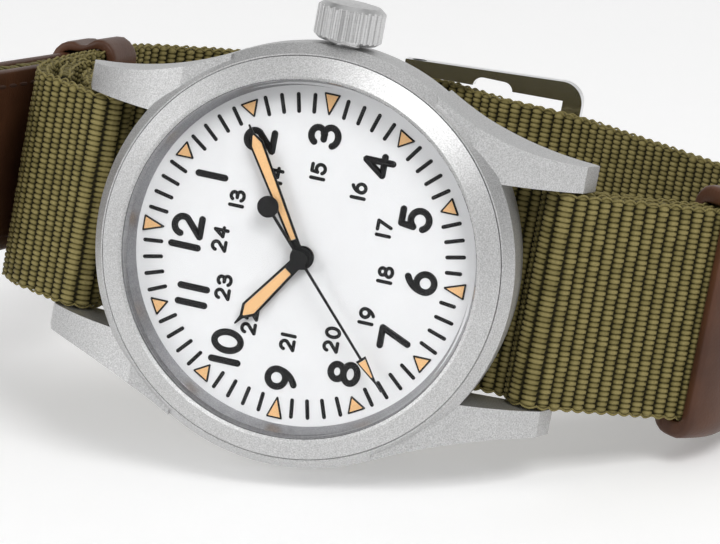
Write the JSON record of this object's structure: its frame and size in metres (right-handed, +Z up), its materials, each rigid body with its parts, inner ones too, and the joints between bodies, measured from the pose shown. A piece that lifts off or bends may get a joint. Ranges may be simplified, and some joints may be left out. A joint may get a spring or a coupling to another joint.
{
  "type": "wristwatch",
  "caption": "Round field wristwatch with lugs, fluted crown and three hands on a ribbed textile strap with leather trim and pin buckle, lying on its side.",
  "frame": {"origin": "centre of the footprint at the table the watch lies on", "axes": "+Z up, out of the table; the dial faces -Y, leaning back a little; +X runs towards the 6 o'clock side of the strap"},
  "size_m": [0.0788, 0.0698, 0.0434],
  "materials": {
    "sandblasted_steel": "fine sandblasted, matt grey",
    "brushed_steel": "turned and lightly brushed",
    "polished_steel": "polished",
    "sapphire": "clear, polished",
    "gasket_rubber": "matt",
    "dial_enamel": "smooth satin white",
    "lume": "matt aged-beige luminous paint",
    "black_lacquer": "glossy black lacquer",
    "movement_ring_plastic": "moulded",
    "nickel_plate": "nickel plated brass",
    "gilt_brass": "gilt",
    "hardened_steel": "hardened and polished",
    "spring_alloy": "blued",
    "ruby": "polished synthetic ruby",
    "olive_textile": "ribbed woven webbing, olive",
    "brown_leather": "smooth brown calf with fine grain"
  },
  "bodies": {
    "case": {"mid_case": "sandblasted_steel", "bezel": "sandblasted_steel", "crystal": "sapphire", "crystal_gasket": "gasket_rubber", "rehaut_ring": "polished_steel", "dial_plate": "dial_enamel", "hour_markers": "lume", "movement_ring": "movement_ring_plastic", "case_back": "brushed_steel", "case_back_gasket": "gasket_rubber", "crown_tube": "polished_steel", "main_plate": "nickel_plate", "barrel_bridge": "nickel_plate", "train_bridge": "nickel_plate", "jewels": "ruby", "pallet_bridge": "nickel_plate", "balance_cock": "nickel_plate", "movement_screws": "hardened_steel", "hairspring": "spring_alloy", "click": "hardened_steel", "spring_bar_tubes": "polished_steel", "spring_bar_tips": "polished_steel", "main_strap": "olive_textile", "tail_facing": "brown_leather", "tail_lining": "brown_leather", "lining_strap": "olive_textile", "leather_ring": "brown_leather", "buckle_frame": "polished_steel", "buckle_bar": "polished_steel"},
    "crown_pull": {"crown_gasket": "gasket_rubber"},
    "crown": {"crown": "brushed_steel", "winding_stem": "hardened_steel"},
    "setting_lever": {"setting_lever": "hardened_steel"},
    "winding_pinions": {"winding_pinion": "hardened_steel", "sliding_pinion": "hardened_steel"},
    "crown_wheel": {"crown_wheel": "hardened_steel"},
    "ratchet": {"ratchet_wheel": "hardened_steel", "barrel_arbor": "hardened_steel", "ratchet_screw": "hardened_steel"},
    "barrel": {"barrel": "gilt_brass", "barrel_cover": "gilt_brass", "mainspring": "spring_alloy"},
    "second_wheel": {"second_wheel": "gilt_brass"},
    "third_wheel": {"third_wheel": "gilt_brass"},
    "seconds": {"fourth_wheel": "gilt_brass", "second_hand": "black_lacquer", "second_lume": "lume"},
    "escape_wheel": {"escape_wheel": "hardened_steel"},
    "pallet_fork": {"pallet_fork": "hardened_steel"},
    "balance": {"balance_wheel": "gilt_brass"},
    "minutes": {"cannon_pinion": "hardened_steel", "minute_hand": "black_lacquer", "minute_lume": "lume"},
    "hours": {"hour_wheel": "gilt_brass", "hour_hand": "black_lacquer", "hour_lume": "lume"},
    "minute_wheel": {"minute_wheel": "gilt_brass"},
    "setting_wheel": {"setting_wheel": "hardened_steel"},
    "tongue": {"buckle_tongue": "polished_steel"},
    "keeper": {"leather_keeper": "brown_leather"}
  },
  "joints": [
    {"name": "crown_pull", "type": "slide", "parent": "case", "child": "crown_pull", "axis": [0.1559, 0.1084, 0.9818], "range_m": [0, 0.001]},
    {"name": "crown_turn", "type": "hinge", "parent": "crown_pull", "child": "crown", "pos_m": [0.00142, -0.02637, 0.04032], "axis": [0.1559, 0.1084, 0.9818], "continuous": true},
    {"name": "setting_lever_swing", "type": "hinge", "parent": "case", "child": "setting_lever", "pos_m": [-0.00361, -0.02843, 0.03172], "axis": [0, -0.994, 0.1097], "range_deg": [0, 20]},
    {"name": "winding_pinions_turn", "type": "hinge", "parent": "case", "child": "winding_pinions", "pos_m": [-0.00045, -0.02767, 0.02854], "axis": [0.1559, 0.1084, 0.9818], "continuous": true},
    {"name": "crown_wheel_turn", "type": "hinge", "parent": "case", "child": "crown_wheel", "pos_m": [-0.00072, -0.02577, 0.02662], "axis": [0, 0.994, -0.1097], "continuous": true},
    {"name": "ratchet_turn", "type": "hinge", "parent": "case", "child": "ratchet", "pos_m": [-0.00799, -0.02604, 0.0242], "axis": [0, 0.994, -0.1097], "continuous": true},
    {"name": "seconds_turn", "type": "hinge", "parent": "case", "child": "seconds", "pos_m": [-0.0017, -0.03142, 0.021], "axis": [0, 0.994, -0.1097], "continuous": true},
    {"name": "third_wheel_turn", "type": "hinge", "parent": "case", "child": "third_wheel", "pos_m": [-0.00314, -0.02873, 0.01798], "axis": [0, 0.994, -0.1097], "continuous": true},
    {"name": "second_wheel_turn", "type": "hinge", "parent": "case", "child": "second_wheel", "pos_m": [-0.00692, -0.02862, 0.01902], "axis": [0, 0.994, -0.1097], "continuous": true},
    {"name": "barrel_turn", "type": "hinge", "parent": "case", "child": "barrel", "pos_m": [-0.00799, -0.02753, 0.02437], "axis": [0, 0.994, -0.1097], "continuous": true},
    {"name": "escape_wheel_turn", "type": "hinge", "parent": "case", "child": "escape_wheel", "pos_m": [0.00031, -0.02809, 0.01929], "axis": [0, 0.994, -0.1097], "continuous": true},
    {"name": "pallet_swing", "type": "hinge", "parent": "case", "child": "pallet_fork", "pos_m": [0.00122, -0.02834, 0.01704], "axis": [0, 0.994, -0.1097], "range_deg": [-6, 6]},
    {"name": "balance_swing", "type": "hinge", "parent": "case", "child": "balance", "pos_m": [0.00231, -0.02794, 0.01427], "axis": [0, 0.994, -0.1097], "range_deg": [-270, 270]},
    {"name": "minutes_turn", "type": "hinge", "parent": "case", "child": "minutes", "pos_m": [-0.0017, -0.03132, 0.02099], "axis": [0, 0.994, -0.1097], "continuous": true},
    {"name": "hours_turn", "type": "hinge", "parent": "case", "child": "hours", "pos_m": [-0.0017, -0.03092, 0.02094], "axis": [0, 0.994, -0.1097], "continuous": true},
    {"name": "minute_wheel_turn", "type": "hinge", "parent": "case", "child": "minute_wheel", "pos_m": [0.00026, -0.02938, 0.02306], "axis": [0, 0.994, -0.1097], "continuous": true},
    {"name": "setting_wheel_turn", "type": "hinge", "parent": "case", "child": "setting_wheel", "pos_m": [-0.00021, -0.02903, 0.02625], "axis": [0, 0.994, -0.1097], "continuous": true},
    {"name": "tongue_swing", "type": "hinge", "parent": "case", "child": "tongue", "pos_m": [-0.00486, 0.02867, 0.01487], "axis": [0.1559, 0.1084, 0.9818], "range_deg": [0, 5]},
    {"name": "keeper_slide", "type": "slide", "parent": "case", "child": "keeper", "axis": [-0.1264, -0.9836, 0.1287], "range_m": [-0.001, 0.0035]}
  ],
  "couplings": [
    {"joint": "setting_lever_swing", "follows": "crown_pull", "rad_per_m": 348},
    {"joint": "winding_pinions_turn", "follows": "crown_turn", "ratio": 1},
    {"joint": "crown_wheel_turn", "follows": "crown_turn", "ratio": -0.59259},
    {"joint": "ratchet_turn", "follows": "crown_turn", "ratio": 0.31111},
    {"joint": "third_wheel_turn", "follows": "seconds_turn", "ratio": -0.13333},
    {"joint": "second_wheel_turn", "follows": "seconds_turn", "ratio": 0.016667},
    {"joint": "barrel_turn", "follows": "seconds_turn", "ratio": -0.0027778},
    {"joint": "escape_wheel_turn", "follows": "seconds_turn", "ratio": -9},
    {"joint": "hours_turn", "follows": "minutes_turn", "ratio": 0.083333},
    {"joint": "minute_wheel_turn", "follows": "minutes_turn", "ratio": -0.33333},
    {"joint": "setting_wheel_turn", "follows": "minutes_turn", "ratio": 0.75}
  ]
}
